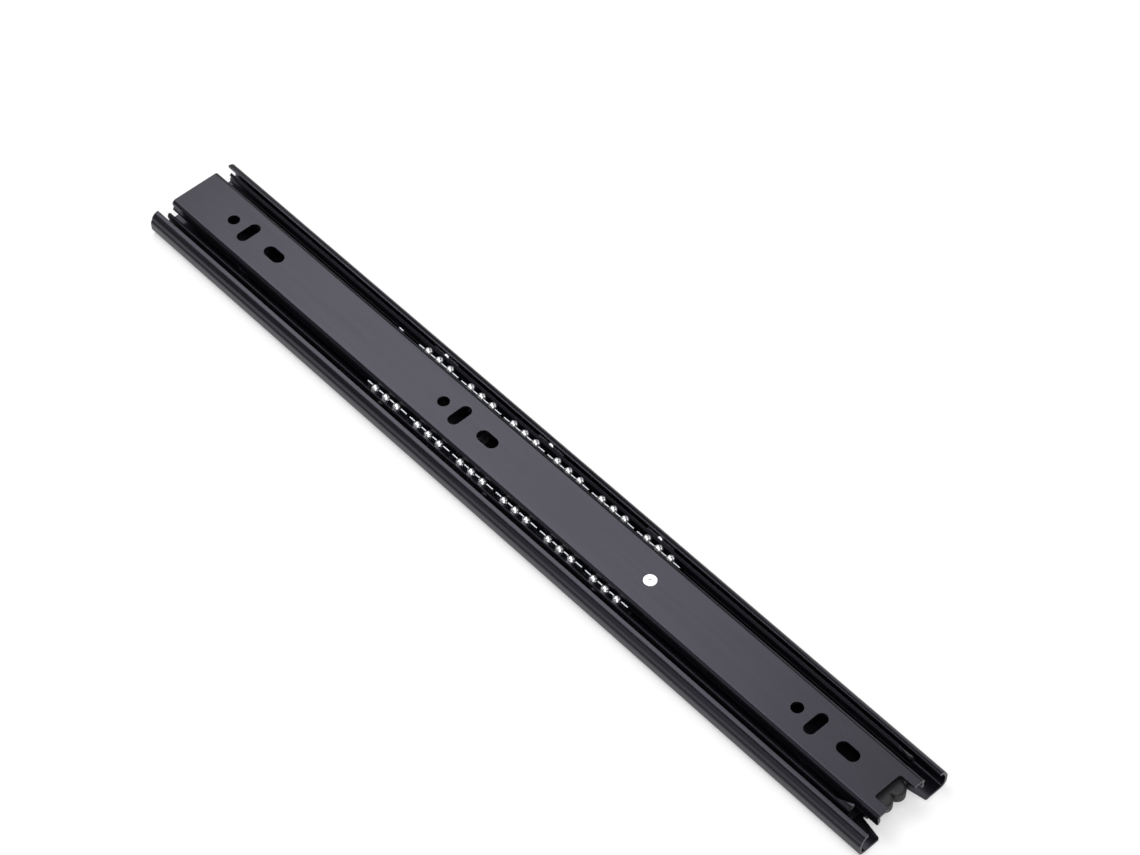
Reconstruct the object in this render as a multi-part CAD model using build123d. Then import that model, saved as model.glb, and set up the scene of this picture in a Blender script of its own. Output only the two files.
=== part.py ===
from build123d import *
import math
import os

# Full-extension ball-bearing drawer slide, lying with its cabinet side down.
# X runs along the slide and points the way the drawer opens, Y runs across it, and Z points at the drawer.
# The origin is the middle of the face that lies against the cabinet.
# Stations are measured back from the front end of the cabinet member, as such slides are dimensioned.

# Overall sizes in millimetres
slide_length = 400.0
slide_width = 45.0
slide_thickness = 12.7
sheet = 1.2
stage_travel = 200.0
running_gap = 0.3

# Balls and the sheet that cages them
ball_diameter = 4.0
ball_clearance = 0.06
retainer_sheet = 0.5
pocket_clearance = 0.1
outer_ball_depth = 5.5
inner_ball_depth = 3.4
claw_height = 0.8

# Rolled sections: inside bend radii, lean of the walls, and how far each race wraps its ball
corner_inside_radius = 2.0
shoulder_inside_radius = 0.6
shoulder_lean = 39.0
waist_inside_radius = 1.8
cabinet_race_start = 12.0
cabinet_lip_wrap = 94.0
intermediate_inside_radius = 0.8
intermediate_wall_lean = 25.0
intermediate_lip_wrap = 35.0
crimp_length = 7.0
crimp_lip_wrap = 85.0
drawer_inside_radius = 0.6
drawer_tail_wrap = 45.0
retainer_bend_radius = 1.0

# How far the members stop short of the ends of the cabinet member
intermediate_front = 4.5
drawer_front = 1.5
drawer_rear_setback = 1.8

# Lanced mounting tabs of the cabinet member
first_tab_station = 34.0
tab_steps = (64.0, 160.0, 64.0)
tab_front_reach = 9.4
tab_rear_reach = 25.0
tab_cut_width = 19.5
tab_leg_width = 3.3
tab_end_gap = 3.6
tab_cut_corner = 4.0
tab_tip_corner = 1.1
tab_hole_diameter = 6.2
tab_slot_step = 16.0
tab_slot_length = 10.0
tab_slot_width = 5.8
slot_end_share = 0.49

# Front stops of the cabinet member: a pressed button and two lanced corners
front_button_station = 5.8
button_diameter = 4.6
button_rise = 0.7
lance_station = 4.0
lance_length = 3.5
lance_width = 5.0
lance_outer_edge = 18.0
lance_lip = 0.8

# Rear stop of the cabinet member and its bumper
rear_notch_depth = 10.0
rear_notch_inner_width = 20.0
rear_notch_mouth_width = 24.0
rear_corner_radius = 0.8
flange_corner_radius = 4.0
stop_tab_width = 18.4
stop_tab_height = 7.8
stop_tab_inside_radius = 0.6
bumper_width = 17.0
bumper_height = 10.2
bumper_pad = 1.5
bumper_lobe_radius = 3.5
bumper_lobe_spacing = 6.8
bumper_lobe_height = 4.6
bumper_rear_wall = 1.2
bumper_edge_radius = 1.2
seat_gap = 0.05

# Outer retainer and its balls
outer_ball_inset = 27.0
outer_ball_count = 3
outer_clip_length = 14.0

# Inner retainer and its balls
inner_retainer_front = 125.0
group_step = 24.8
group_count = 6
group_gap = 1.8
ball_step = 6.35
balls_in_group = 3
first_ball_offset = 4.9
window_length = 21.0
window_width = 17.0
finger_reach = 12.0
finger_length = 2.5
inner_strip_shift = 0.4

# Stops of the intermediate member
catch_lug_station = 10.8
catch_lug_offset = 6.8
catch_lug_width = 3.6
catch_lug_clearance = 0.8
catch_lug_window = 4.0
retainer_button_offset = 8.0
retainer_button_setback = 0.5

# Drawer member: screw holes, slots and rear notch
first_drawer_hole = 26.5
drawer_hole_steps = (128.0, 192.0)
drawer_hole_diameter = 5.0
cross_slot_step = 9.4
cross_slot_length = 11.0
cross_slot_width = 5.0
long_slot_step = 25.4
long_slot_length = 10.0
long_slot_width = 5.5
drawer_notch_width = 13.2
drawer_notch_depth = 7.0
drawer_notch_corner = 1.0

# Release lever and its rivet
rivet_station = 270.0
rivet_head_diameter = 5.4
rivet_head_height = 0.6
rivet_shank_diameter = 3.4
rivet_foot_diameter = 5.6
rivet_foot_height = 0.8
rivet_dimple_diameter = 1.2
rivet_dimple_depth = 0.35
pivot_clearance = 0.08
lever_thickness = 2.4
lever_boss_radius = 6.0
lever_arm_width = 6.0
lever_corner_radius = 1.0
lever_tip_station = 186.0
paddle_length = 12.0
paddle_wall = 1.2
paddle_side_gap = 0.6
paddle_foot_reach = 2.4
paddle_foot_height = 1.3
paddle_floor_gap = 0.5
barb_reach = 8.0
barb_floor_gap = 0.8
barb_flat = 2.0
barb_ramp = 10.0
barb_tip_radius = 0.5

# Heights and distances that follow from the sizes above
ball_radius = ball_diameter / 2
race_inside = ball_radius + ball_clearance
race_middle = race_inside + sheet / 2
outer_retainer_height = sheet + running_gap
intermediate_height = outer_retainer_height + retainer_sheet + running_gap
inner_retainer_height = intermediate_height + sheet + running_gap
outer_ball_height = slide_thickness - outer_ball_depth
inner_ball_height = slide_thickness - inner_ball_depth
corner_bend = sheet / 2 + corner_inside_radius
shoulder_bend = sheet / 2 + shoulder_inside_radius
waist_bend = sheet / 2 + waist_inside_radius
shoulder_angle = math.radians(shoulder_lean)
race_angle = math.radians(cabinet_race_start)
outer_ball_offset = (
    slide_width / 2 - sheet / 2 - shoulder_bend * (1 - math.cos(shoulder_angle))
    - waist_bend * (math.cos(race_angle) - math.cos(shoulder_angle)) - race_middle * math.cos(race_angle)
)
ball_row_rise = inner_ball_height - outer_ball_height
inner_ball_offset = outer_ball_offset - math.sqrt((2 * race_middle) ** 2 - ball_row_rise ** 2)
inner_strip_offset = inner_ball_offset - inner_strip_shift
drawer_channel_edge = inner_ball_offset - race_inside - sheet
drawer_underside = slide_thickness - sheet
cabinet_lip_top = outer_ball_height + race_inside + sheet
drawer_rear = slide_length - drawer_rear_setback
rear_notch_station = slide_length - rear_notch_depth
stop_tab_face = rear_notch_station + stop_tab_inside_radius
bumper_face = stop_tab_face - bumper_pad
intermediate_rear = bumper_face - running_gap
button_to_retainer = stage_travel / 2 + running_gap + button_diameter / 2
outer_retainer_front = front_button_station + button_to_retainer
rear_button_station = intermediate_rear - retainer_button_setback - button_diameter / 2
outer_retainer_rear = rear_button_station - button_to_retainer
outer_ball_step = (outer_retainer_rear - outer_retainer_front - 2 * outer_ball_inset) / (outer_ball_count - 1)
inner_retainer_rear = inner_retainer_front + group_count * group_step - group_gap
lever_top = drawer_underside - running_gap
lever_bottom = lever_top - lever_thickness
lever_floor = inner_retainer_height + retainer_sheet


def station(distance):
    """X of a place measured back from the front end."""
    return slide_length / 2 - distance


def bent_strip(start, heading, moves, thickness):
    """Edge-on outline of a sheet that runs straight (None, length) and bends (middle radius, turn)."""
    sides = []
    for side in (1, -1):
        tangent = Vector(1, 0).rotate(Axis.Z, heading)
        point = Vector(start) + tangent.rotate(Axis.Z, 90) * (side * thickness / 2)
        edges = []
        for radius, amount in moves:
            if radius is None:
                edges.append(Line(point, point + tangent * amount))
            else:
                inward = side * math.copysign(thickness / 2, amount)
                edges.append(JernArc(point, tangent, radius - inward, amount))
            point = edges[-1] @ 1
            tangent = edges[-1] % 1
        sides.append(edges)
    left, right = sides
    ends = [Line(left[0] @ 0, right[0] @ 0), Line(left[-1] @ 1, right[-1] @ 1)]
    return make_face(left + right + ends)


def rolled(half_section, front, rear):
    """A half section, mirrored about the middle of the slide and run from one station to another."""
    section = half_section + mirror(half_section, Plane.YZ)
    return extrude(Plane.YZ.offset(station(rear)) * section, rear - front)


def cabinet_section():
    """Web, corner, upright wall, shoulder, waist, and a race that wraps the outside of the outer ball."""
    wall_rise = (
        outer_ball_height + race_middle * math.sin(race_angle) - sheet / 2
        - corner_bend - shoulder_bend * math.sin(shoulder_angle)
        - waist_bend * (math.sin(shoulder_angle) - math.sin(race_angle))
    )
    moves = [
        (None, slide_width / 2 - sheet / 2 - corner_bend),
        (corner_bend, 90),
        (None, wall_rise),
        (shoulder_bend, shoulder_lean),
        (waist_bend, cabinet_race_start - shoulder_lean),
        (race_middle, cabinet_lip_wrap - cabinet_race_start),
    ]
    return bent_strip((0, sheet / 2), 0, moves, sheet)


def intermediate_section(lip_wrap):
    """Web, bend, leaning wall, a race inside the outer ball and one outside the inner ball."""
    bend = sheet / 2 + intermediate_inside_radius
    middle = intermediate_height + sheet / 2
    lean = math.radians(intermediate_wall_lean)
    turn_over = math.degrees(math.asin(ball_row_rise / (2 * race_middle)))
    wall_rise = outer_ball_height - middle - bend * (1 + math.sin(lean)) - race_middle * math.sin(lean)
    web = outer_ball_offset + wall_rise * math.tan(lean) - (race_middle + bend) * math.cos(lean)
    moves = [
        (None, web),
        (bend, 90 + intermediate_wall_lean),
        (None, wall_rise / math.cos(lean)),
        (race_middle, -intermediate_wall_lean - turn_over),
        (race_middle, turn_over + lip_wrap),
    ]
    return bent_strip((0, middle), 0, moves, sheet)


def drawer_section():
    """Web, bend, and a race round the inside of the inner ball."""
    bend = sheet / 2 + drawer_inside_radius
    middle = slide_thickness - sheet / 2
    over = math.asin((middle - bend - inner_ball_height) / (bend + race_middle))
    web = inner_ball_offset - race_middle * math.cos(over) - bend * math.cos(over)
    moves = [
        (None, web),
        (bend, -90 - math.degrees(over)),
        (race_middle, math.degrees(over) + drawer_tail_wrap),
    ]
    return bent_strip((0, middle), 0, moves, sheet)


def retainer_section(web_height, strip_offset, ball_height):
    """Web and upright side strip of a ball retainer."""
    bend = retainer_sheet / 2 + retainer_bend_radius
    middle = web_height + retainer_sheet / 2
    moves = [
        (None, strip_offset - bend),
        (bend, 90),
        (None, ball_height + claw_height - middle - bend),
    ]
    return bent_strip((0, middle), 0, moves, retainer_sheet)


def through(sketch, low, high):
    """A flat outline made into a cutter between two heights."""
    return extrude(Pos(0, 0, low) * sketch, high - low)


def between(front, rear, low_side, high_side, bottom, top):
    """A block between two stations, two offsets across the slide and two heights."""
    size = (rear - front, high_side - low_side, top - bottom)
    centre = (station((front + rear) / 2), (low_side + high_side) / 2, (bottom + top) / 2)
    return Pos(*centre) * Box(*size)


def stations_from(first, steps):
    """Stations that start at one place and go on by the given steps."""
    places = [first]
    for step in steps:
        places.append(places[-1] + step)
    return places


def pressed_button(place, offset, face, upward):
    """A round half-shear: what it raises on one face, and the pit that it leaves in the other."""
    rise = button_rise if upward else -button_rise
    pit_face = face - math.copysign(sheet, rise)
    raised = Pos(station(place), offset, face + rise / 2) * Cylinder(button_diameter / 2, button_rise)
    pit_radius = button_diameter / 2 - button_rise / 4
    pit = Pos(station(place), offset, pit_face + rise / 2) * Cylinder(pit_radius, button_rise)
    return raised, pit


def mounting_tab_cut():
    """U-shaped cut round one mounting tab, with the tab's holes; its round hole is at the origin."""
    length = tab_front_reach + tab_rear_reach
    tongue_length = length - tab_end_gap
    tongue_width = tab_cut_width - 2 * tab_leg_width
    outside = Pos((tab_front_reach - tab_rear_reach) / 2, 0) * Rectangle(length, tab_cut_width)
    outside = fillet(outside.vertices().sort_by(Axis.X)[2:], tab_cut_corner)
    tongue = Pos(tongue_length / 2 - tab_rear_reach, 0) * Rectangle(tongue_length, tongue_width)
    tongue = fillet(tongue.vertices().sort_by(Axis.X)[2:], tab_tip_corner)
    cut = outside - tongue
    cut = fillet(cut.vertices().sort_by(Axis.X)[:4], tab_leg_width * slot_end_share)
    cut += Circle(tab_hole_diameter / 2)
    for step in (1, 2):
        cut += Pos(-step * tab_slot_step, 0) * SlotOverall(tab_slot_length, tab_slot_width)
    return cut


def make_cabinet_member():
    """Outer rail, screwed to the cabinet: mounting tabs, front stops and the bent rear stop."""
    rail = rolled(cabinet_section(), 0, slide_length)
    tab_cut = through(mounting_tab_cut(), -sheet, 2 * sheet)
    for place in stations_from(first_tab_station, tab_steps):
        rail -= Pos(station(place), 0, 0) * tab_cut
    button, pit = pressed_button(front_button_station, 0, sheet, True)
    rail = rail + button - pit
    for side in (1, -1):
        corner = (station(lance_station), side * lance_outer_edge)
        inner = (station(lance_station), side * (lance_outer_edge - lance_width))
        back = (station(lance_station + lance_length), side * lance_outer_edge)
        rail -= through(make_face(Polyline(corner, inner, back, close=True)), -sheet, 2 * sheet)
        fold = Line(inner, back)
        lip = trace(fold, lance_lip)
        rail += through(lip, sheet / 2, sheet + button_rise)
    half_inner = rear_notch_inner_width / 2
    half_mouth = rear_notch_mouth_width / 2
    notch = make_face(Polyline(
        (station(rear_notch_station), half_inner),
        (station(slide_length), half_mouth),
        (station(slide_length), -half_mouth),
        (station(rear_notch_station), -half_inner),
        close=True,
    ))
    rail -= through(notch, -sheet, 2 * sheet)
    bend = sheet / 2 + stop_tab_inside_radius
    tab = bent_strip(
        (station(rear_notch_station), sheet / 2), 180,
        [(bend, -90), (None, stop_tab_height - bend - sheet / 2)], sheet,
    )
    rail += extrude(Plane.XZ * tab, stop_tab_width / 2, both=True)
    rear_edges = rail.edges().filter_by(Axis.Z).group_by(Axis.X)[0]
    ears = [edge for edge in rear_edges if abs(edge.center().Y) < half_mouth + sheet]
    rail = fillet(ears, rear_corner_radius)
    corner = Pos(station(slide_length), cabinet_lip_top) * (
        Rectangle(2 * flange_corner_radius, 2 * flange_corner_radius)
        - Pos(flange_corner_radius, -flange_corner_radius) * Circle(flange_corner_radius)
        - Pos(flange_corner_radius, 0) * Rectangle(2 * flange_corner_radius, 4 * flange_corner_radius)
        - Pos(0, -flange_corner_radius) * Rectangle(4 * flange_corner_radius, 2 * flange_corner_radius)
    )
    return rail - extrude(Plane.XZ * corner, slide_width, both=True)


def make_rear_bumper():
    """Elastomer cap over the bent stop tab: a flat pad in front, and two round lobes that overhang behind."""
    rear_face = stop_tab_face + sheet + bumper_rear_wall
    foot = sheet + stop_tab_inside_radius + seat_gap
    cap = between(bumper_face, rear_face, -bumper_width / 2, bumper_width / 2, foot, bumper_height)
    lobe_bottom = bumper_height - bumper_lobe_height
    for side in (1, -1):
        lobe = Pos(station(rear_face), side * bumper_lobe_spacing / 2) * Circle(bumper_lobe_radius)
        cap += through(lobe, lobe_bottom, bumper_height)
    slot_top = stop_tab_height + seat_gap
    slot = between(stop_tab_face - seat_gap, stop_tab_face + sheet + seat_gap, -bumper_width, bumper_width,
                   0, slot_top)
    cap -= slot
    return fillet(cap.edges().group_by(Axis.Z)[-1], bumper_edge_radius)


def make_intermediate_member():
    """Middle rail: runs on the outer balls and carries the inner ones."""
    plain = intermediate_section(intermediate_lip_wrap)
    crimped = intermediate_section(crimp_lip_wrap)
    crimp_start = intermediate_rear - crimp_length
    rail = rolled(plain, intermediate_front, crimp_start)
    crimp_front = Plane.YZ.offset(station(crimp_start)) * plain
    crimp_rear = Plane.YZ.offset(station(intermediate_rear)) * crimped
    crimp = loft([crimp_front, crimp_rear], ruled=True)
    rail += crimp
    rail += mirror(crimp, Plane.XZ)
    top = intermediate_height + sheet
    low_side = catch_lug_offset - catch_lug_width / 2
    high_side = catch_lug_offset + catch_lug_width / 2
    window_front = catch_lug_station - catch_lug_window
    rail -= between(window_front, catch_lug_station, low_side, high_side, 0, top + sheet)
    rail += between(catch_lug_station, catch_lug_station + sheet, low_side, high_side,
                    intermediate_height, lever_bottom - catch_lug_clearance)
    front_button_place = inner_retainer_front - button_to_retainer
    for offset in (retainer_button_offset, -retainer_button_offset):
        for button, pit in (pressed_button(front_button_place, offset, top, True),
                            pressed_button(rear_button_station, offset, intermediate_height, False)):
            rail = rail + button - pit
    return rail


def ball_pockets(places, ball_offset, ball_height):
    """Cutter for the pockets of balls at the given stations, on both sides of a retainer."""
    pocket = Rot(X=90) * Cylinder(ball_radius + pocket_clearance, 4 * retainer_sheet)
    spots = [Pos(station(place), side * ball_offset, ball_height) * pocket
             for place in places for side in (1, -1)]
    return Compound(children=spots)


def outer_ball_stations():
    """Stations of the outer balls of one side."""
    first = outer_retainer_front + outer_ball_inset
    return [first + index * outer_ball_step for index in range(outer_ball_count)]


def inner_ball_stations(group):
    """Stations of the inner balls in one clip of the inner retainer."""
    start = inner_retainer_front + group * group_step + first_ball_offset
    return [start + index * ball_step for index in range(balls_in_group)]


def make_outer_retainer():
    """Zinc cage of the outer balls: clips turned up through the ball centres, on one windowed web."""
    section = retainer_section(outer_retainer_height, outer_ball_offset, outer_ball_height)
    cage = rolled(section, outer_retainer_front, outer_retainer_rear)
    clear_of_bend = outer_retainer_height + retainer_sheet + retainer_bend_radius
    places = outer_ball_stations()
    starts = [outer_retainer_front] + [place + outer_clip_length / 2 for place in places]
    ends = [place - outer_clip_length / 2 for place in places] + [outer_retainer_rear]
    for start, end in zip(starts, ends):
        cage -= between(start, end, -slide_width, slide_width, clear_of_bend, slide_thickness)
    for front, rear in zip(places, places[1:]):
        window = SlotOverall(rear - front - outer_clip_length, window_width)
        cage -= Pos(station((front + rear) / 2), 0, 0) * through(window, 0, clear_of_bend)
    return cage - ball_pockets(places, outer_ball_offset, outer_ball_height)


def make_inner_retainer():
    """Zinc cage of the inner balls: six clips a side on one windowed web, and a finger at the front right."""
    section = retainer_section(inner_retainer_height, inner_strip_offset, inner_ball_height)
    finger_front = inner_retainer_front - finger_reach
    cage = rolled(section, finger_front, inner_retainer_rear)
    clear_of_bend = inner_retainer_height + retainer_sheet + retainer_bend_radius
    strip_edge = -(retainer_button_offset + button_diameter / 2 + running_gap)
    cage -= between(finger_front, inner_retainer_front, strip_edge, slide_width, 0, slide_thickness)
    cage -= between(finger_front + finger_length, inner_retainer_front, -slide_width, slide_width,
                    clear_of_bend, slide_thickness)
    for group in range(group_count):
        clip_end = inner_retainer_front + (group + 1) * group_step - group_gap
        cage -= between(clip_end, clip_end + group_gap, -slide_width, slide_width,
                        clear_of_bend, slide_thickness)
        window = RectangleRounded(window_length, window_width, group_gap)
        middle = clip_end + group_gap / 2 - group_step / 2
        cage -= Pos(station(middle), 0, 0) * through(window, 0, clear_of_bend)
        cage -= ball_pockets(inner_ball_stations(group), inner_strip_offset, inner_ball_height)
    return cage


def balls(places, offset, height):
    """Separate balls of one row at the given stations."""
    return Compound(children=[Pos(station(place), offset, height) * Sphere(ball_radius) for place in places])


def make_drawer_member():
    """Inner rail, screwed to the drawer: groups of a hole, a cross slot and a long slot, and a rear notch."""
    rail = rolled(drawer_section(), drawer_front, drawer_rear)
    openings = Circle(drawer_hole_diameter / 2)
    openings += Pos(-cross_slot_step, 0) * Rot(Z=90) * SlotOverall(cross_slot_length, cross_slot_width)
    openings += Pos(-long_slot_step, 0) * SlotOverall(long_slot_length, long_slot_width)
    below = drawer_underside - sheet
    above = slide_thickness + sheet
    cutter = through(openings, below, above)
    for place in stations_from(first_drawer_hole, drawer_hole_steps):
        rail -= Pos(station(place), 0, 0) * cutter
    notch = RectangleRounded(2 * drawer_notch_depth, drawer_notch_width, drawer_notch_corner)
    rail -= Pos(station(drawer_rear), 0, 0) * through(notch, below, above)
    head_radius = rivet_head_diameter / 2 + seat_gap
    shank_radius = rivet_shank_diameter / 2 + seat_gap
    at_rivet = Pos(station(rivet_station), 0, 0)
    rail -= at_rivet * through(Circle(head_radius), slide_thickness - rivet_head_height, above)
    rail -= at_rivet * through(Circle(shank_radius), below, slide_thickness)
    return rail


def make_lever_rivet():
    """Rivet that the lever turns on, set flush in the drawer member's face."""
    head_bottom = slide_thickness - rivet_head_height
    foot_top = lever_bottom - running_gap / 2
    foot_bottom = foot_top - rivet_foot_height
    rivet = through(Circle(rivet_head_diameter / 2), head_bottom, slide_thickness)
    rivet += through(Circle(rivet_shank_diameter / 2), foot_bottom, head_bottom)
    rivet += through(Circle(rivet_foot_diameter / 2), foot_bottom, foot_top)
    rivet -= through(Circle(rivet_dimple_diameter / 2), slide_thickness - rivet_dimple_depth, slide_thickness)
    return Pos(station(rivet_station), 0, 0) * rivet


def make_release_lever():
    """Plastic lever under the drawer member: pivot boss, arm, catch barb and finger paddle."""
    paddle_rear = lever_tip_station + paddle_length
    arm_length = rivet_station - lever_tip_station
    paddle_edge = drawer_channel_edge - paddle_side_gap
    wall_edge = paddle_edge - paddle_wall
    wall_middle = paddle_edge - paddle_wall / 2
    paddle_bottom = lever_floor + paddle_floor_gap
    plan = Circle(lever_boss_radius)
    plan += Pos(arm_length / 2, 0) * Rectangle(arm_length, lever_arm_width)
    plan += Pos(arm_length - paddle_length / 2, paddle_edge / 2) * Rectangle(paddle_length, paddle_edge)
    plan = fillet([corner for corner in plan.vertices() if corner.Y < wall_middle], lever_corner_radius)
    plan -= Circle(rivet_shank_diameter / 2 + pivot_clearance)
    lever = Pos(station(rivet_station), 0, 0) * through(plan, lever_bottom, lever_top)
    lever += between(lever_tip_station, paddle_rear, wall_edge, paddle_edge, paddle_bottom, lever_top)
    lever += between(lever_tip_station, paddle_rear, wall_edge, paddle_edge + paddle_foot_reach,
                     paddle_bottom, paddle_bottom + paddle_foot_height)
    outer_corners = [edge for edge in lever.edges().filter_by(Axis.Z) if edge.center().Y > wall_middle]
    lever = fillet(outer_corners, lever_corner_radius)
    barb_front = catch_lug_station + sheet + stage_travel + running_gap
    barb = make_face(Polyline(
        (station(barb_front), 0),
        (station(barb_front), barb_reach),
        (station(barb_front + barb_flat), barb_reach),
        (station(barb_front + barb_flat + barb_ramp), 0),
        close=True,
    ))
    barb = fillet(barb.vertices().sort_by(Axis.Y)[2:], barb_tip_radius)
    return lever + through(barb, lever_floor + barb_floor_gap, lever_top)


def make_parts():
    """Every node of the slide by name."""
    parts = {
        "cabinet_member": make_cabinet_member(),
        "rear_bumper": make_rear_bumper(),
        "outer_retainer": make_outer_retainer(),
        "intermediate_member": make_intermediate_member(),
        "inner_retainer": make_inner_retainer(),
        "drawer_member": make_drawer_member(),
        "release_lever": make_release_lever(),
        "lever_rivet": make_lever_rivet(),
    }
    for name, side in (("left", 1), ("right", -1)):
        row = balls(outer_ball_stations(), side * outer_ball_offset, outer_ball_height)
        parts[f"outer_balls_{name}"] = row
        for group in range(group_count):
            row = balls(inner_ball_stations(group), side * inner_ball_offset, inner_ball_height)
            parts[f"inner_balls_{name}_{group + 1}"] = row
    return parts


os.makedirs("parts", exist_ok=True)
for node, shape in make_parts().items():
    export_step(shape, os.path.join("parts", f"{node}.step"))
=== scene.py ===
import math

import bpy
from mathutils import Matrix, Vector


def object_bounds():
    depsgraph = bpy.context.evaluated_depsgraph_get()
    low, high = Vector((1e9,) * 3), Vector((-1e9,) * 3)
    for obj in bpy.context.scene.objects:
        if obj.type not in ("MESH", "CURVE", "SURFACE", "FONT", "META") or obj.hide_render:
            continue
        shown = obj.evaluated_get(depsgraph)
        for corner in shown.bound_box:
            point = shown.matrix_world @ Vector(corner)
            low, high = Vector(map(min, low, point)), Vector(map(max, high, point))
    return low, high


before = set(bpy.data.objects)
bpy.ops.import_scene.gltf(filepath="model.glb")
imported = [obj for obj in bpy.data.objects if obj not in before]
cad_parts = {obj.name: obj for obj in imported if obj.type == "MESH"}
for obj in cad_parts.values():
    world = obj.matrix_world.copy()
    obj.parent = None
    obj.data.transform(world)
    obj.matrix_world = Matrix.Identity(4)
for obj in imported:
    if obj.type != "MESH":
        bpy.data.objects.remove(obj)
cad_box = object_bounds()

# Cabinet member
# The outer rail, roll-formed from 1.2 mm cold-rolled steel strip, then pierced and lanced. It is screwed to
# the cabinet by its mounting tabs. After forming it is dipped in black electrocoat, which is baked on.
MM = 0.001
BEVEL_SAMPLES = 4


def linear(hex_colour):
    """Linear red, green, blue and alpha of an sRGB hex colour."""
    shares = [int(hex_colour[place:place + 2], 16) / 255 for place in (1, 3, 5)]
    return [s / 12.92 if s <= 0.04045 else ((s + 0.055) / 1.055) ** 2.4 for s in shares] + [1.0]


def add_node(tree, kind, settings=None, links=None):
    """Adds a shader node, sets its properties and sockets, and links its inputs to other nodes."""
    node = tree.nodes.new(kind)
    for name, value in (settings or {}).items():
        if isinstance(name, str) and hasattr(node, name):
            setattr(node, name, value)
        else:
            node.inputs[name].default_value = value
    for socket, (source, output) in (links or {}).items():
        tree.links.new(source.outputs[output], node.inputs[socket])
    return node


def new_material(name):
    """A material with an empty node tree, and that tree."""
    material = bpy.data.materials.new(name)
    material.use_nodes = True
    material.node_tree.nodes.clear()
    return material, material.node_tree


def dress(node_name, material):
    """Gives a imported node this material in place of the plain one."""
    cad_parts[node_name].material_slots[0].material = material


# Electrocoat over rolled steel: a thin hard film, black with a trace of violet, half gloss. It shows soft
# lights as broad pale bands, broken by a faint orange peel and by the long lines that the forming rolls leave
# in the strip. Real roll lines are a tenth of a millimetre apart, and these are coarser so that they show.
PEEL_WIDTH = 0.9 * MM
PEEL_DEPTH = 0.02 * MM
ROLL_LINE_PITCH = 0.5 * MM
ROLL_LINE_LENGTH = 60 * MM
SHADE_PATCH = 35 * MM
STRIP_EDGE = 0.2 * MM

electrocoat, tree = new_material("black_electrocoat_on_rolled_steel")
place = add_node(tree, "ShaderNodeTexCoord")
along_strip = add_node(
    tree, "ShaderNodeMapping",
    {"Scale": (1 / ROLL_LINE_LENGTH, 1 / ROLL_LINE_PITCH, 1 / ROLL_LINE_PITCH)},
    {"Vector": (place, "Object")})
roll_lines = add_node(
    tree, "ShaderNodeTexNoise", {"Scale": 1.0, "Detail": 3.0, "Roughness": 0.6},
    {"Vector": (along_strip, "Vector")})
shade = add_node(
    tree, "ShaderNodeTexNoise", {"Scale": 1 / SHADE_PATCH, "Detail": 2.0}, {"Vector": (place, "Object")})
peel = add_node(
    tree, "ShaderNodeTexNoise", {"Scale": 1 / PEEL_WIDTH, "Detail": 2.0}, {"Vector": (place, "Object")})
film_colour = add_node(tree, "ShaderNodeValToRGB", {}, {"Fac": (shade, "Fac")})
film_colour.color_ramp.elements[0].position = 0.35
film_colour.color_ramp.elements[0].color = linear("#0f0e12")
film_colour.color_ramp.elements[1].position = 0.65
film_colour.color_ramp.elements[1].color = linear("#131217")
film_gloss = add_node(
    tree, "ShaderNodeMapRange", {"From Min": 0.3, "From Max": 0.7, "To Min": 0.20, "To Max": 0.27},
    {"Value": (roll_lines, "Fac")})
rounded = add_node(tree, "ShaderNodeBevel", {"samples": BEVEL_SAMPLES, "Radius": STRIP_EDGE})
orange_peel = add_node(
    tree, "ShaderNodeBump", {"Strength": 0.06, "Distance": PEEL_DEPTH},
    {"Height": (peel, "Fac"), "Normal": (rounded, "Normal")})
film = add_node(
    tree, "ShaderNodeBsdfPrincipled", {"IOR": 1.5, "Specular Tint": linear("#edebff")},
    {"Base Color": (film_colour, "Color"), "Roughness": (film_gloss, "Result"),
     "Normal": (orange_peel, "Normal")})
add_node(tree, "ShaderNodeOutputMaterial", {}, {"Surface": (film, "BSDF")})

dress("cabinet_member", electrocoat)

# Rear bumper
# A black elastomer cap, moulded in one piece and pushed over the bent stop tab at the rear of the cabinet
# member. The moving rails come to rest against it.

# Moulded elastomer: a matt, slightly uneven skin that spreads the light, so its lobes look soft beside the
# glossier rails. The unevenness is drawn coarser than on a real skin, so that it shows.
SKIN_GRAIN = 0.4 * MM
SKIN_DEPTH = 0.03 * MM
BUMPER_EDGE = 0.35 * MM

elastomer, tree = new_material("moulded_black_elastomer")
place = add_node(tree, "ShaderNodeTexCoord")
skin = add_node(
    tree, "ShaderNodeTexNoise", {"Scale": 1 / SKIN_GRAIN, "Detail": 3.0}, {"Vector": (place, "Object")})
skin_gloss = add_node(
    tree, "ShaderNodeMapRange", {"To Min": 0.4, "To Max": 0.65}, {"Value": (skin, "Fac")})
rounded = add_node(tree, "ShaderNodeBevel", {"samples": BEVEL_SAMPLES, "Radius": BUMPER_EDGE})
skin_bump = add_node(
    tree, "ShaderNodeBump", {"Strength": 0.25, "Distance": SKIN_DEPTH},
    {"Height": (skin, "Fac"), "Normal": (rounded, "Normal")})
rubber = add_node(
    tree, "ShaderNodeBsdfPrincipled", {"Base Color": linear("#17161a"), "IOR": 1.52},
    {"Roughness": (skin_gloss, "Result"), "Normal": (skin_bump, "Normal")})
add_node(tree, "ShaderNodeOutputMaterial", {}, {"Surface": (rubber, "BSDF")})

dress("rear_bumper", elastomer)

# Outer retainer and its balls
# A cage of 0.5 mm steel strip, pressed and zinc plated, that keeps three bearing balls a side apart as they
# roll between the cabinet member and the intermediate member.

# Zinc plate on pressed steel: a pale grey metal with faint clouds. Its thin edges flash as short white lines.
PLATE_CLOUD = 1.6 * MM
CAGE_EDGE = 0.1 * MM

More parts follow.
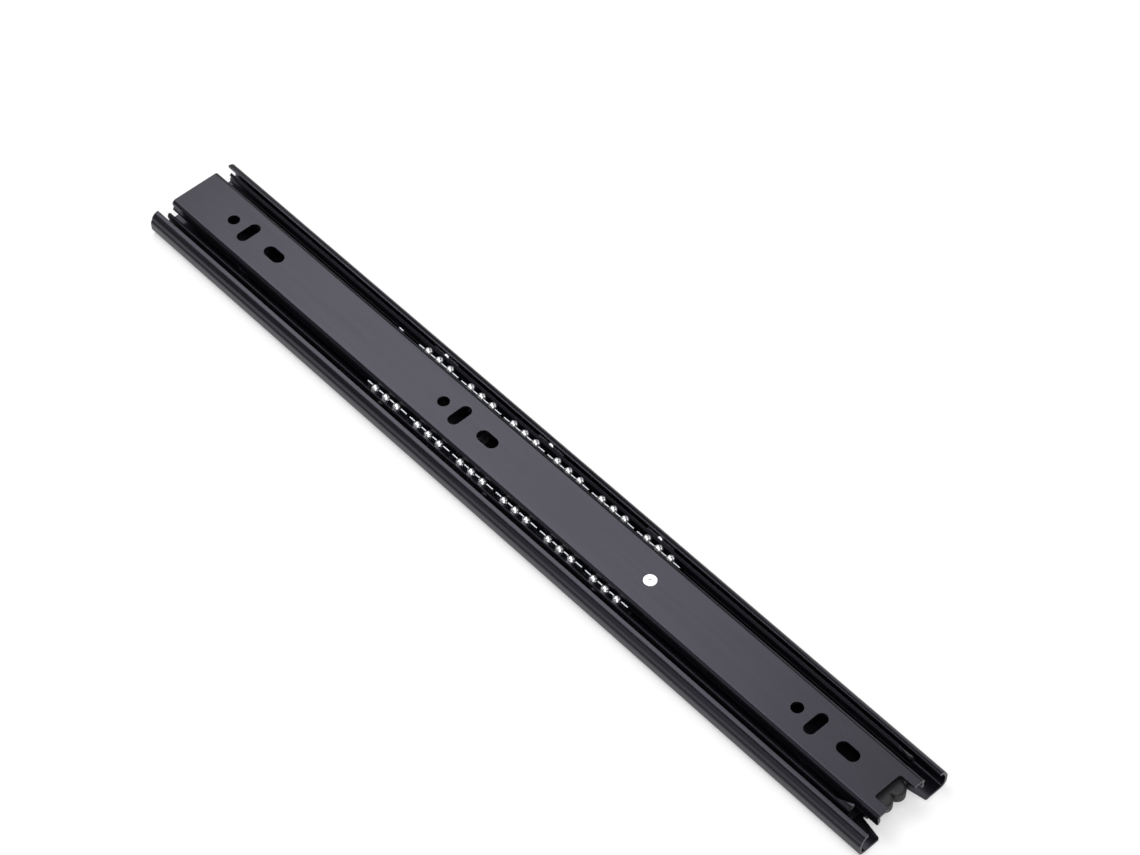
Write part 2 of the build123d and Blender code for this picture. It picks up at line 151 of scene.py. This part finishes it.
cage_zinc, tree = new_material("zinc_plate_on_pressed_steel")
place = add_node(tree, "ShaderNodeTexCoord")
plate = add_node(
    tree, "ShaderNodeTexNoise", {"Scale": 1 / PLATE_CLOUD, "Detail": 4.0}, {"Vector": (place, "Object")})
plate_colour = add_node(tree, "ShaderNodeValToRGB", {}, {"Fac": (plate, "Fac")})
plate_colour.color_ramp.elements[0].position = 0.3
plate_colour.color_ramp.elements[0].color = linear("#94989f")
plate_colour.color_ramp.elements[1].position = 0.7
plate_colour.color_ramp.elements[1].color = linear("#b7babf")
plate_gloss = add_node(
    tree, "ShaderNodeMapRange", {"From Min": 0.3, "From Max": 0.7, "To Min": 0.28, "To Max": 0.42},
    {"Value": (plate, "Fac")})
rounded = add_node(tree, "ShaderNodeBevel", {"samples": BEVEL_SAMPLES, "Radius": CAGE_EDGE})
metal = add_node(
    tree, "ShaderNodeBsdfPrincipled", {"Metallic": 1.0},
    {"Base Color": (plate_colour, "Color"), "Roughness": (plate_gloss, "Result"),
     "Normal": (rounded, "Normal")})
add_node(tree, "ShaderNodeOutputMaterial", {}, {"Surface": (metal, "BSDF")})

# Lapped bearing steel: bright and even, so that each ball shows the lights as a white glint on a dark ground.
# Real lapping marks are some thousandths of a millimetre wide, and these are coarser so that they show.
LAPPING_MARK = 0.5 * MM

ball_steel, tree = new_material("lapped_bearing_steel")
place = add_node(tree, "ShaderNodeTexCoord")
lapping = add_node(
    tree, "ShaderNodeTexNoise", {"Scale": 1 / LAPPING_MARK, "Detail": 2.0}, {"Vector": (place, "Object")})
ball_gloss = add_node(
    tree, "ShaderNodeMapRange", {"To Min": 0.22, "To Max": 0.34}, {"Value": (lapping, "Fac")})
metal = add_node(
    tree, "ShaderNodeBsdfPrincipled", {"Base Color": linear("#e3e4e6"), "Metallic": 1.0},
    {"Roughness": (ball_gloss, "Result")})
add_node(tree, "ShaderNodeOutputMaterial", {}, {"Surface": (metal, "BSDF")})

dress("outer_retainer", cage_zinc)
for side in ("left", "right"):
    dress(f"outer_balls_{side}", ball_steel)

# Intermediate member
# The middle rail, rolled from strip and electrocoated as the cabinet member is. It runs on the outer balls
# and carries the inner ones. Its rear lips are curled in.
dress("intermediate_member", electrocoat)

# Inner retainer and its balls
# The same zinc-plated strip, pressed into six clips a side with three balls in each. Its top edges and its
# balls show as two bright rows beside the drawer member.
dress("inner_retainer", cage_zinc)
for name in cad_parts:
    if name.startswith("inner_balls_"):
        dress(name, ball_steel)

# Drawer member
# The inner rail, rolled from strip and electrocoated as the other two are. It is screwed to the side of the
# drawer through its holes and slots.
dress("drawer_member", electrocoat)

# Release lever
# An injection-moulded acetal lever on a rivet under the drawer member. Pressing its paddle frees the drawer
# member from its catch.

# Moulded acetal: black and satin, with a fine grain from the mould, so it looks duller than the coated steel
# round it. Real grain is about a tenth of a millimetre wide, and this is coarser so that it shows.
MOULD_GRAIN = 0.3 * MM
MOULD_GRAIN_DEPTH = 0.02 * MM
LEVER_EDGE = 0.25 * MM

acetal, tree = new_material("moulded_black_acetal")
place = add_node(tree, "ShaderNodeTexCoord")
grain = add_node(
    tree, "ShaderNodeTexNoise", {"Scale": 1 / MOULD_GRAIN, "Detail": 2.0}, {"Vector": (place, "Object")})
grain_gloss = add_node(
    tree, "ShaderNodeMapRange", {"To Min": 0.38, "To Max": 0.55}, {"Value": (grain, "Fac")})
rounded = add_node(tree, "ShaderNodeBevel", {"samples": BEVEL_SAMPLES, "Radius": LEVER_EDGE})
grain_bump = add_node(
    tree, "ShaderNodeBump", {"Strength": 0.2, "Distance": MOULD_GRAIN_DEPTH},
    {"Height": (grain, "Fac"), "Normal": (rounded, "Normal")})
plastic = add_node(
    tree, "ShaderNodeBsdfPrincipled", {"Base Color": linear("#141416"), "IOR": 1.48},
    {"Roughness": (grain_gloss, "Result"), "Normal": (grain_bump, "Normal")})
add_node(tree, "ShaderNodeOutputMaterial", {}, {"Surface": (plastic, "BSDF")})

dress("release_lever", acetal)

# Lever rivet
# The headed steel rivet that the lever turns on, tumbled and zinc plated. Its flat head is set flush in the
# face of the drawer member.

# Zinc plate on a tumbled head: paler and smoother than on the cages, so it is a white disc on the black rail.
# The marks of tumbling are drawn coarser than real ones, so that they show.
TUMBLING_MARK = 0.7 * MM
RIVET_EDGE = 0.1 * MM

rivet_zinc, tree = new_material("bright_zinc_plate_on_tumbled_steel")
place = add_node(tree, "ShaderNodeTexCoord")
tumbling = add_node(
    tree, "ShaderNodeTexNoise", {"Scale": 1 / TUMBLING_MARK, "Detail": 2.0}, {"Vector": (place, "Object")})
rivet_gloss = add_node(
    tree, "ShaderNodeMapRange", {"To Min": 0.24, "To Max": 0.34}, {"Value": (tumbling, "Fac")})
rounded = add_node(tree, "ShaderNodeBevel", {"samples": BEVEL_SAMPLES, "Radius": RIVET_EDGE})
metal = add_node(
    tree, "ShaderNodeBsdfPrincipled", {"Base Color": linear("#cdced1"), "Metallic": 1.0},
    {"Roughness": (rivet_gloss, "Result"), "Normal": (rounded, "Normal")})
add_node(tree, "ShaderNodeOutputMaterial", {}, {"Surface": (metal, "BSDF")})

dress("lever_rivet", rivet_zinc)

# Floor
# A plain white table that the slide lies on. Its glow keeps the shadows pale, and the camera sees it whiter
# still, as in a product photograph. It fades into the white room far from the slide. It shows from above
# only, and lets the light below through to what touches it, which is the cabinet face.
FLOOR_SIZE = 4.0
FLOOR_GAP = 0.05 * MM
TOUCH = 0.5 * MM
FADE_START = 0.65
FADE_END = 1.25
TABLE_GLOW = 0.21
WHITENING = 0.21

floor_mesh = bpy.data.meshes.new("white_table")
half = FLOOR_SIZE / 2
corners = [(-half, -half), (half, -half), (half, half), (-half, half)]
floor_mesh.from_pydata([(x, y, -FLOOR_GAP) for x, y in corners], [], [(0, 1, 2, 3)])
floor = bpy.data.objects.new("white_table", floor_mesh)
bpy.context.scene.collection.objects.link(floor)
table_white, tree = new_material("white_table_top")
place = add_node(tree, "ShaderNodeTexCoord")
from_slide = add_node(tree, "ShaderNodeVectorMath", {"operation": "LENGTH"}, {0: (place, "Object")})
fade = add_node(
    tree, "ShaderNodeMapRange", {"From Min": FADE_START, "From Max": FADE_END},
    {"Value": (from_slide, "Value")})
geometry = add_node(tree, "ShaderNodeNewGeometry")
ray = add_node(tree, "ShaderNodeLightPath")
touched = add_node(tree, "ShaderNodeMath", {"operation": "LESS_THAN", 1: TOUCH}, {0: (ray, "Ray Length")})
let_through = add_node(
    tree, "ShaderNodeMath", {"operation": "MAXIMUM"}, {0: (geometry, "Backfacing"), 1: (touched, "Value")})
unseen = add_node(
    tree, "ShaderNodeMath", {"operation": "MAXIMUM"}, {0: (let_through, "Value"), 1: (fade, "Result")})
glow = add_node(
    tree, "ShaderNodeMath", {"operation": "MULTIPLY_ADD", 1: WHITENING, 2: TABLE_GLOW},
    {0: (ray, "Is Camera Ray")})
white = add_node(
    tree, "ShaderNodeBsdfPrincipled",
    {"Base Color": linear("#d6d6d6"), "Roughness": 0.9, "Specular IOR Level": 0.0,
     "Emission Color": linear("#ffffff")},
    {"Emission Strength": (glow, "Value")})
clear = add_node(tree, "ShaderNodeBsdfTransparent")
table_top = add_node(
    tree, "ShaderNodeMixShader", {}, {0: (unseen, "Value"), 1: (white, "BSDF"), 2: (clear, "BSDF")})
add_node(tree, "ShaderNodeOutputMaterial", {}, {"Surface": (table_top, "Shader")})
floor_mesh.materials.append(table_white)

# Light
# Soft boxes in a dim room that shows white past the table. The flat faces mirror the front right box and the
# lamp that brightens its middle, the rolled lips mirror the strip, and the balls and retainers mirror the
# overhead box. The others give the other sides something to mirror.
slide_middle = (Vector(cad_box[0]) + Vector(cad_box[1])) / 2

world = bpy.data.worlds.new("dim_room")
world.use_nodes = True
tree = world.node_tree
tree.nodes.clear()
ray = add_node(tree, "ShaderNodeLightPath")
dim = add_node(tree, "ShaderNodeBackground", {"Color": linear("#e9ebf2"), "Strength": 0.06})
bright = add_node(tree, "ShaderNodeBackground", {"Color": linear("#ffffff"), "Strength": 1.0})
room = add_node(
    tree, "ShaderNodeMixShader", {},
    {0: (ray, "Is Camera Ray"), 1: (dim, "Background"), 2: (bright, "Background")})
add_node(tree, "ShaderNodeOutputWorld", {}, {"Surface": (room, "Shader")})
bpy.context.scene.world = world


def soft_box(name, toward, distance, length, height, radiance):
    """An area light that hangs square with the slide and faces it. A mirror would show its radiance."""
    light = bpy.data.lights.new(name, "AREA")
    light.shape = "RECTANGLE"
    light.size = length
    light.size_y = height
    light.energy = radiance * math.pi * length * height
    outward = Vector(toward).normalized()
    upward = outward.cross(Vector((1, 0, 0))).normalized()
    box = bpy.data.objects.new(name, light)
    box.location = slide_middle + outward * distance
    box.rotation_mode = "QUATERNION"
    box.rotation_quaternion = Matrix((upward.cross(outward), upward, outward)).transposed().to_quaternion()
    box.visible_camera = False
    bpy.context.scene.collection.objects.link(box)


soft_box("front_right_box", (0.41, -0.26, 0.875), distance=1.68, length=1.1, height=0.95, radiance=1.6)
soft_box("front_right_lamp", (0.49, -0.24, 0.84), distance=1.68, length=0.72, height=0.95, radiance=1.55)
soft_box("front_strip", (0.45, 0.16, 0.875), distance=1.68, length=1.1, height=0.6, radiance=3.0)
soft_box("overhead_box", (-0.35, 0.12, 1.0), distance=1.6, length=1.1, height=1.1, radiance=2.2)
soft_box("left_box", (0.3, 1.5, 0.75), distance=1.7, length=1.1, height=1.1, radiance=0.65)
soft_box("rear_left_box", (-0.65, 0.55, 0.55), distance=1.8, length=1.3, height=1.3, radiance=1.6)
soft_box("rear_right_box", (-0.5, -0.75, 0.45), distance=1.8, length=1.1, height=1.1, radiance=1.2)
soft_box("low_front_right_box", (0.87, -0.52, 0.36), distance=1.9, length=1.1, height=1.1, radiance=0.9)
soft_box("low_right_box", (0.12, -0.9, 0.3), distance=1.8, length=0.7, height=0.8, radiance=1.2)
soft_box("low_front_left_box", (0.9, 0.45, 0.4), distance=1.9, length=1.1, height=1.2, radiance=0.6)
soft_box("under_box", (0, 0, -1), distance=1.4, length=5.0, height=5.0, radiance=1.2)

# Camera
# It looks down on the slide from the rear left, as the photograph does. Its place and its lens were fitted to
# the holes and ends of the slide there.
AZIMUTH = math.radians(227.27)
ELEVATION = math.radians(51.6)
DISTANCE = 1255.2 * MM
LOOK_AT = Vector((6.84, -30.66, 6.0)) * MM
SENSOR_WIDTH = 36.0
FOCAL_LENGTH = 102.76
CLIP_START = 0.05

camera = bpy.data.cameras.new("camera")
camera.sensor_width = SENSOR_WIDTH
camera.lens = FOCAL_LENGTH
camera.clip_start = CLIP_START
eye = bpy.data.objects.new("camera", camera)
back = Vector((math.sin(AZIMUTH), -math.cos(AZIMUTH), math.tan(ELEVATION))).normalized()
eye.location = LOOK_AT + back * DISTANCE
eye.rotation_mode = "QUATERNION"
eye.rotation_quaternion = (-back).to_track_quat("-Z", "Y")
bpy.context.scene.collection.objects.link(eye)
bpy.context.scene.camera = eye
bpy.context.scene.view_settings.view_transform = "Standard"
